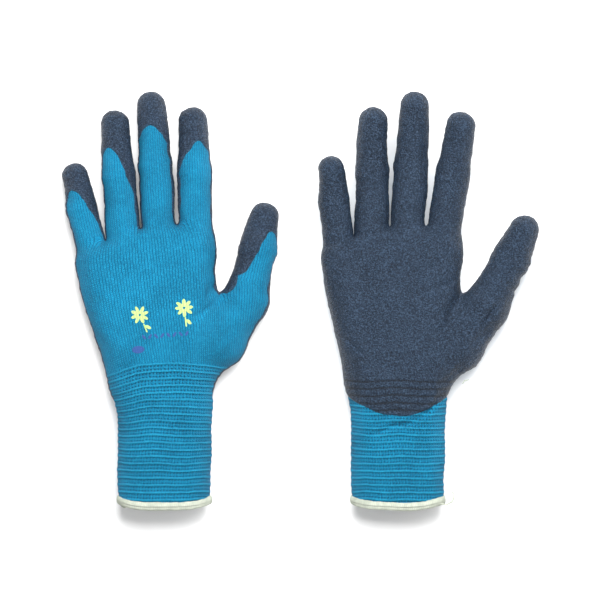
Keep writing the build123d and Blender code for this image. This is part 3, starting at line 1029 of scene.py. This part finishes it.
def bend_piece(obj, glove, number):
    """Lets a piece follow the bodies on both sides of its joint."""
    if number == 0:
        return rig.ride(obj, f"{glove}_hand")
    if number == 1:
        ends = to_row([(0, -1.5, 0), (0, -15, 0)], glove)
        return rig.blend(obj, f"{glove}_hand", f"{glove}_cuff", ends[0], ends[1])
    name = finger_of(number)
    a, bend = AXES[glove][name], FINGERS[name]["bend"]
    if number % 2 == 0:
        ends = to_row([a["root"] + a["base"] * 1.2, a["root"] + a["base"] * (bend - BEFORE - 1.5)], glove)
        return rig.blend(obj, f"{glove}_hand", f"{glove}_{name}_base", ends[0], ends[1])
    ends = to_row([a["middle"] - a["base"] * (BEFORE - 1.2), a["middle"] + a["outer"] * (BEFORE + 1)], glove)
    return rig.blend(obj, f"{glove}_{name}_base", f"{glove}_{name}_tip", ends[0], ends[1])


def piece_name(number):
    if number < 2:
        return ("hand", "cuff")[number]
    return f"{finger_of(number)}_{('base', 'tip')[number % 2]}"


def cut_pieces(glove, layer, vertices, quads, normals, piece, at, surface, slot_name):
    for number in np.unique(piece):
        mine = quads[piece == number]
        used, index = np.unique(mine, return_inverse=True)
        # Cloth coordinates sit on face corners, so that none is stretched where they wrap round.
        u, v = ("hand_u", "hand_v") if number < 2 else ("u", "v")
        u, v = at[u][mine], at[v][mine]
        around = 2 * HALF_ROUND if number < 2 else 2 * pi * FINGERS[finger_of(number)]["radii"][1]
        u = u - around * np.round((u - u[:, :1]) / around)
        cloth = np.stack([u, v, np.zeros_like(u)], axis=-1)
        rows_foam_and_shade = np.stack([at["rib"], at["foam"], at["owner"]], axis=1)[used]
        name, faces, given = piece_name(number), index.reshape(-1, 4), {"cloth": cloth, "rows_foam_and_shade": rows_foam_and_shade}
        obj = mesh_object(f"{glove}_{name}_{layer}", vertices[used], faces, glove, given, normals[used])
        obj.data.materials.append(surface)
        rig.slot(obj, slot_name)
        if number != 1:
            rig.replaces(obj, f"{glove}_{name}_{'liner' if layer == 'knit' else 'coating'}")
        elif layer == "knit":
            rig.replaces(obj, f"{glove}_cuff")
        bend_piece(obj, glove, number)


def cuff_low(x):
    """Height of the cuff's end: it hangs lowest in the middle."""
    return CUFF_END + CUFF_DROP * np.clip(np.abs(x) / 28, 0, 1) ** 2


def build_skin(glove):
    def distance(points):
        return hand_distance(points, glove)

    tips = np.array([a["tip"] for a in AXES[glove].values()])
    low = np.array([-50.0 + min(0, tips[:, 0].min() + 40), -64.0, -20.0 + min(0, tips[:, 2].min() + 6)])
    high = np.array([tips[:, 0].max() + 14, tips[:, 1].max() + 14, 20.0])
    points, quads = surface_net(distance, low, high, CELL)
    points, normals = settle(distance, points)
    at = describe(points, glove)
    skin = points + normals * relief(points, glove, at)[:, None]
    skin_normals = vertex_normals(skin, quads)
    centre = points[quads].mean(1)
    piece = piece_of_faces(quads, at, glove, centre[:, 1])
    hanging = straightened(centre, glove)
    keep = hanging[:, 1] > cuff_low(hanging[:, 0])
    cut_pieces(glove, "knit", skin, quads[keep], skin_normals, piece[keep], at, KNIT_MATERIAL, "knit")
    depth = ramp(at["foam"], -FOAM_REACH, 1.6)
    grain = 0.10 * waves(points, 3.2, 31)
    foam = skin + skin_normals * (-FOAM_SINK + (FOAM_RISE + grain) * depth)[:, None]
    normals = vertex_normals(foam, quads)
    coated = keep & (at["foam"][quads].max(1) > -FOAM_REACH)
    cut_pieces(glove, "foam", foam, quads[coated], normals, piece[coated], at, FOAM_MATERIAL, "foam_coating")
    print(f"{glove} glove: {keep.sum()} faces of knit and {coated.sum()} of foam")


for glove in GLOVES:
    build_skin(glove)

# %% [markdown]
# ## Hem
#
# The cuff's end is bound by an overlock: loops of thread that lie side by side and lean a little. The
# ring follows the cuff's cross-section, and each loop is a ridge that runs round the ring's own section.


# %% Overlocked hem
HEM_LOOPS = 130
HEM_MIDDLE = -58.0


def slot_ring(count, wide, deep):
    """Points and outward normals evenly spaced round a slot-shaped ring, starting at the thumb's side."""
    straight, around = 2 * (wide - deep), pi * deep
    total = 2 * (straight + around)
    t = (np.arange(count) / count * total + around / 2) % total
    points, out = np.zeros((count, 2)), np.zeros((count, 2))
    for k, p in enumerate(t):
        side = 1 if p < straight + around else -1
        p = p if side > 0 else p - straight - around
        if p < around:
            a = -pi / 2 + p / deep
            points[k] = side * np.array([wide - deep + deep * cos(a), deep * sin(a)])
            out[k] = side * np.array([cos(a), sin(a)])
        else:
            points[k] = side * np.array([wide - deep - (p - around), deep])
            out[k] = side * np.array([0.0, 1.0])
    return points, out, total


def slot_size(y):
    """Half width and half depth of the cuff at one height."""
    return (tube_size(np.array([y]), column)[0] for column in (2, 3))


def ring_quads(count, section, first=0):
    """Faces of a closed ring of count sections."""
    faces = []
    for k in range(count):
        for j in range(section):
            here, ahead = first + k * section, first + (k + 1) % count * section
            m = (j + 1) % section
            faces.append([ahead + j, ahead + m, here + m, here + j])
    return faces


def build_hem(glove):
    count, section = HEM_LOOPS * (4 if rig.quick() else 8), 28
    wide, deep = slot_size(HEM_MIDDLE)
    ring, out, total = slot_ring(count, wide - 0.2, deep - 0.2)
    rng = np.random.RandomState(11 if glove == "left" else 12)
    phases = np.arange(count) / count * HEM_LOOPS
    lean_noise, size_noise = (
        np.interp(phases, np.arange(HEM_LOOPS + 1), np.r_[r, r[0]]) for r in rng.normal(size=(2, HEM_LOOPS))
    )
    vertices, cloth, rows_foam_and_shade = [], [], []
    for k, phase in enumerate(phases):
        for j in range(section):
            a = 2 * pi * j / section
            # A section taller than it is thick, with flattened faces.
            c, s = cos(a), sin(a)
            thick = 1.35 * np.sign(c) * abs(c) ** 0.85
            tall = 2.45 * np.sign(s) * abs(s) ** 0.9
            lie = phase + 0.42 * s * (1 if c > 0 else -1) + 0.10 * lean_noise[k]
            ridge = abs(cos(pi * lie)) ** 0.8
            grow = 0.20 * (ridge - 0.5) + 0.05 * size_noise[k]
            edge = 0.25 * sin(2 * pi * phase / 30 + 1.3) + 0.04 * size_noise[k]
            swell = 1 + grow / 2.0
            radial = thick * swell + grow * 0.3 * np.sign(c)
            x, z = ring[k] + out[k] * radial
            low = cuff_low(np.array([ring[k][0]]))[0]
            vertices.append((x, low + tall * swell + edge - 0.2, z))
            cloth.append((phase * total / HEM_LOOPS, a * 2.0, 0))
            # The first value marks where the loops dip between their ridges, for the thread's painted shade.
            rows_foam_and_shade.append((1 - ridge, 5.0, 0))
    vertices, quads = np.array(vertices), np.array(ring_quads(count, section))
    back = turn_matrix(GLOVES[glove]["yaw"]).T
    normals, given = vertex_normals(vertices, quads) @ back, {"cloth": cloth, "rows_foam_and_shade": rows_foam_and_shade}
    obj = mesh_object(f"{glove}_hem", vertices @ back, quads, glove, given, normals)
    obj.data.materials.append(THREAD_MATERIAL)
    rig.slot(obj, "hem_thread")
    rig.replaces(obj, f"{glove}_cuff_hem")
    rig.ride(obj, f"{glove}_cuff")
    print(f"{glove} hem: {HEM_LOOPS} loops over {total:.0f} mm")


# %% [markdown]
# ## Elastic yarn and loose threads
#
# What gathers the cuff is elastic yarn, laid in on the inside of each row. It shows in the cuff's mouth, so
# each ring follows the skin's own relief a little way inside it. Short ends of thread stay where the hem
# and the wrist were finished.


# %% Elastic and thread ends
ELASTIC_COUNT = 13
ELASTIC_LOWEST = -53.0
ELASTIC_PITCH = 4.1
ELASTIC_RADIUS = 0.4
ELASTIC_INSIDE = 0.95  # from the skin in to the middle of the yarn


def build_elastic(glove):
    """Rings of elastic yarn laid just inside the cuff's skin, one for each row."""
    back = turn_matrix(GLOVES[glove]["yaw"]).T
    count, section = 120, 6
    vertices, quads, cloth = [], [], []
    for k in range(ELASTIC_COUNT):
        y = ELASTIC_LOWEST + ELASTIC_PITCH * k
        ring, out, total = slot_ring(count, *slot_size(y))
        points = np.column_stack([ring[:, 0], np.full(count, y), ring[:, 1]]) @ back
        outward = np.column_stack([out[:, 0], np.zeros(count), out[:, 1]]) @ back
        at = describe(points, glove)
        middle = points + outward * (relief(points, glove, at) - ELASTIC_INSIDE)[:, None]
        up = np.array([0.0, 1.0, 0.0])
        quads += ring_quads(count, section, len(vertices))
        for i, (p, o) in enumerate(zip(middle, outward)):
            for j in range(section):
                a = 2 * pi * j / section
                vertices.append(p + ELASTIC_RADIUS * (o * cos(a) + up * sin(a)))
                cloth.append((i / count * total, a, 0))
    obj = mesh_object(f"{glove}_elastic", np.array(vertices), quads, glove, {"cloth": cloth})
    obj.data.materials.append(ELASTIC_MATERIAL)
    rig.slot(obj, "elastic_yarn")
    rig.replaces(obj, f"{glove}_cuff_elastic")
    bend_piece(obj, glove, 1)


def thread_tail(name, glove, path, thickness, body):
    """A short loose end of thread along a path in the hand's frame."""
    path = np.array(path, float)
    t = np.linspace(0, len(path) - 1, 10 * len(path))
    smooth = np.stack([np.interp(t, np.arange(len(path)), path[:, k]) for k in range(3)], axis=1)
    kernel = np.hanning(11) / np.hanning(11).sum()
    padded = np.pad(smooth, ((5, 5), (0, 0)), mode="edge")
    smooth = np.stack([np.convolve(padded[:, k], kernel, mode="valid") for k in range(3)], axis=1)
    along = np.gradient(smooth, axis=0)
    vertices, quads, around = [], [], 8
    for k, (p, d) in enumerate(zip(smooth, along)):
        d = unit(d)
        a = unit(np.cross(d, [0.1, 0.2, 1.0]))
        b = np.cross(d, a)
        end = sin(pi * (0.08 + 0.84 * k / (len(smooth) - 1))) ** 0.3
        for j in range(around):
            w = 2 * pi * j / around
            lobe = thickness * end * (1 + 0.18 * cos(2 * w + 0.9 * k))
            vertices.append(p + lobe * (a * cos(w) + b * sin(w)))
    for k in range(len(smooth) - 1):
        for j in range(around):
            m = (j + 1) % around
            quads.append((k * around + j, k * around + m, (k + 1) * around + m, (k + 1) * around + j))
    vertices, quads = np.array(vertices), np.array(quads)
    obj = mesh_object(name, vertices, quads, glove, {"cloth": vertices, "rows_foam_and_shade": np.zeros((len(vertices), 3))})
    obj.data.materials.append(THREAD_MATERIAL)
    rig.slot(obj, "hem_thread")
    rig.ride(obj, body)


for glove in GLOVES:
    build_hem(glove)
    build_elastic(glove)
HEM_TAIL = [(24, -57, -12), (28, -58, -11), (32, -56, -9), (33, -52, -7), (31, -49.5, -6.5)]
WRIST_THREAD = [(37.5, 13, -9), (39, 15, -9.5), (41.5, 15.5, -8)]
thread_tail("right_hem_tail", "right", HEM_TAIL, 0.5, "right_cuff")
thread_tail("right_wrist_thread", "right", WRIST_THREAD, 0.35, "right_hand")
thread_tail("left_hem_tail", "left", [(-25, -56, 8), (-28.5, -57.5, 7), (-31, -55.5, 5)], 0.45, "left_cuff")

# %% [markdown]
# ## Ink on the backs
#
# Each petal, leaf and stem is a small disc dropped onto the skin and lifted a tenth of a millimetre, with
# the skin's own relief and cloth coordinates, so the knit shows through it.


# %% Printed motifs
def drop(points, glove):
    """Points (x, y) put on the back of the glove."""
    p = np.column_stack([points, np.full(len(points), 15.0)])
    for _ in range(12):
        d = hand_distance(p, glove)
        slope = (hand_distance(p + [0, 0, 0.3], glove) - d) / 0.3
        p[:, 2] -= np.clip(d / np.maximum(slope, 0.2), -2, 2)
    normals = gradient(lambda q: hand_distance(q, glove), p)
    normals /= np.linalg.norm(normals, axis=1)[:, None]
    at = describe(p, glove)
    return p + normals * (relief(p, glove, at) + 0.16)[:, None], normals, at


def disc(centre, half_length, half_width, turn, rings=3, around=18, square=1.0):
    """Points and faces of a flat oval, its long side along turn degrees from +X."""
    points, faces = [centre], []
    c, s = cos(radians(turn)), sin(radians(turn))
    for r in range(1, rings + 1):
        for k in range(around):
            a = 2 * pi * k / around
            x = half_length * r / rings * np.sign(cos(a)) * abs(cos(a)) ** square
            y = half_width * r / rings * np.sign(sin(a)) * abs(sin(a)) ** square
            points.append((centre[0] + x * c - y * s, centre[1] + x * s + y * c))
    for k in range(around):
        faces.append((0, 1 + k, 1 + (k + 1) % around))
    for r in range(rings - 1):
        for k in range(around):
            a, b = 1 + r * around + k, 1 + r * around + (k + 1) % around
            faces.append((a, a + around, b + around, b))
    return np.array(points), faces


def motif(name, glove, discs, surface, slot_name, node):
    points, faces, first = [], [], 0
    for p, f in discs:
        points.append(p)
        faces += [tuple(i + first for i in face) for face in f]
        first += len(p)
    vertices, normals, at = drop(np.concatenate(points), glove)
    cloth = np.stack([at["u"], at["v"], np.zeros(len(vertices))], axis=1)
    obj = mesh_object(name, vertices, faces, glove, {"cloth": cloth}, normals)
    obj.data.materials.append(surface)
    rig.slot(obj, slot_name)
    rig.replaces(obj, node)
    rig.ride(obj, f"{glove}_hand")


def daisy(x, y, turn, size=5.4):
    shapes = []
    rng = np.random.RandomState(int(100 + x))
    for k in range(8):
        a = 360 / 8 * k + turn + rng.uniform(-5, 5)
        reach = (size - 2.4) * rng.uniform(0.97, 1.04)
        centre = (x + reach * cos(radians(a)), y + reach * sin(radians(a)))
        shapes.append(disc(centre, 2.35 * rng.uniform(0.94, 1.06), 1.0 * rng.uniform(0.92, 1.06), a))
    c, s = cos(radians(turn - 90)), sin(radians(turn - 90))
    for k in range(5):
        d = size + 0.9 + 1.0 * k
        shapes.append(disc((x + c * d, y + s * d), 0.8, 0.42, turn - 90, 2, 12))
    shapes.append(disc((x + c * (size + 3) - s * 1.7, y + s * (size + 3) + c * 1.7), 1.9, 0.95, turn - 50))
    return shapes


# %% Prints
FLOWER_PLACES = ((-8.9, 54.6, 18), (17.3, 56.5, 2))  # x, y and turn
SPRIG_PLACE, SPRIG_LEAVES, SPRIG_PITCH = (5.0, 41.5), 8, 3.6
OVAL_PLACE = (-11.5, 34.5)

for glove in GLOVES:
    flowers = [shape for place in FLOWER_PLACES for shape in daisy(*place)]
    motif(f"{glove}_flowers", glove, flowers, PALE_INK, "print_pale", f"{glove}_flower_print")
    leaves = []
    for k in range(SPRIG_LEAVES):
        x = SPRIG_PLACE[0] + SPRIG_PITCH * (k - (SPRIG_LEAVES - 1) / 2)
        leaves.append(disc((x, SPRIG_PLACE[1]), 1.65, 0.72, 55 if k % 2 else -55, 2, 14))
    leaves.append(disc(OVAL_PLACE, 3.6, 2.2, 0, 4, 24))
    motif(f"{glove}_sprig", glove, leaves, DARK_INK, "print_dark", f"{glove}_sprig_print")
    print(f"{glove} prints: {len(flowers)} pale and {len(leaves)} dark shapes")

# %% [markdown]
# ## Stage, light and camera
#
# A pale table, one soft light from above and beyond the fingertips, two weaker ones from the right and from
# the cuffs' side, and a faint even surround. The camera looks straight down through a long lens, as a
# product is shown, and the plain view transform keeps the white table white and the blue strong.


# %% Stage
def plain_material(name, colour, roughness):
    m, _, surface = material(name)
    surface.inputs["Base Color"].default_value = colour
    surface.inputs["Roughness"].default_value = roughness
    return m


bpy.ops.mesh.primitive_plane_add(size=6, location=(0, 0, 0))
floor = bpy.context.object
floor.name = "table"
floor.data.materials.append(plain_material("Pale table", (0.92, 0.92, 0.92, 1), 0.9))
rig.stage(floor)


def area_light(name, place, target, size, power):
    light = bpy.data.lights.new(name, "AREA")
    light.shape, light.size, light.energy = "SQUARE", size, power
    obj = bpy.data.objects.new(name, light)
    obj.location = place
    obj.rotation_euler = (Vector(target) - Vector(place)).to_track_quat("-Z", "Y").to_euler()
    bpy.context.scene.collection.objects.link(obj)
    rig.stage(obj)


area_light("key", (0.05, 0.36, 0.85), (0, 0.03, 0), 0.5, 17)
area_light("side", (0.6, 0.25, 0.9), (0, 0, 0), 0.5, 3.5)
area_light("low", (-0.2, -0.3, 1.2), (0, -0.05, 0), 0.7, 6.0)

world = bpy.context.scene.world or bpy.data.worlds.new("World")
bpy.context.scene.world = world
world.use_nodes = True
world.node_tree.nodes["Background"].inputs["Color"].default_value = (1, 1, 1, 1)
world.node_tree.nodes["Background"].inputs["Strength"].default_value = 0.14

bpy.context.scene.view_settings.view_transform = "Standard"
VIEW_WIDTH, VIEW_HEIGHT = 0.354, 0.02  # metres seen across the picture, at this height above the table
camera_data = bpy.data.cameras.new("camera")
camera_data.sensor_width = 36
camera_data.lens = 160
camera = bpy.data.objects.new("camera", camera_data)
camera.location = (0, 0, VIEW_HEIGHT + VIEW_WIDTH * camera_data.lens / camera_data.sensor_width)
bpy.context.scene.collection.objects.link(camera)
bpy.context.scene.camera = camera

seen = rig.bounds()
with open("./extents.json", "w") as out:
    boxes = {"cad": cad_bounds, "visual": seen}
    json.dump({key: [list(map(float, corner)) for corner in box] for key, box in boxes.items()}, out)
print("visual box", [[round(float(c), 4) for c in corner] for corner in seen], "m")
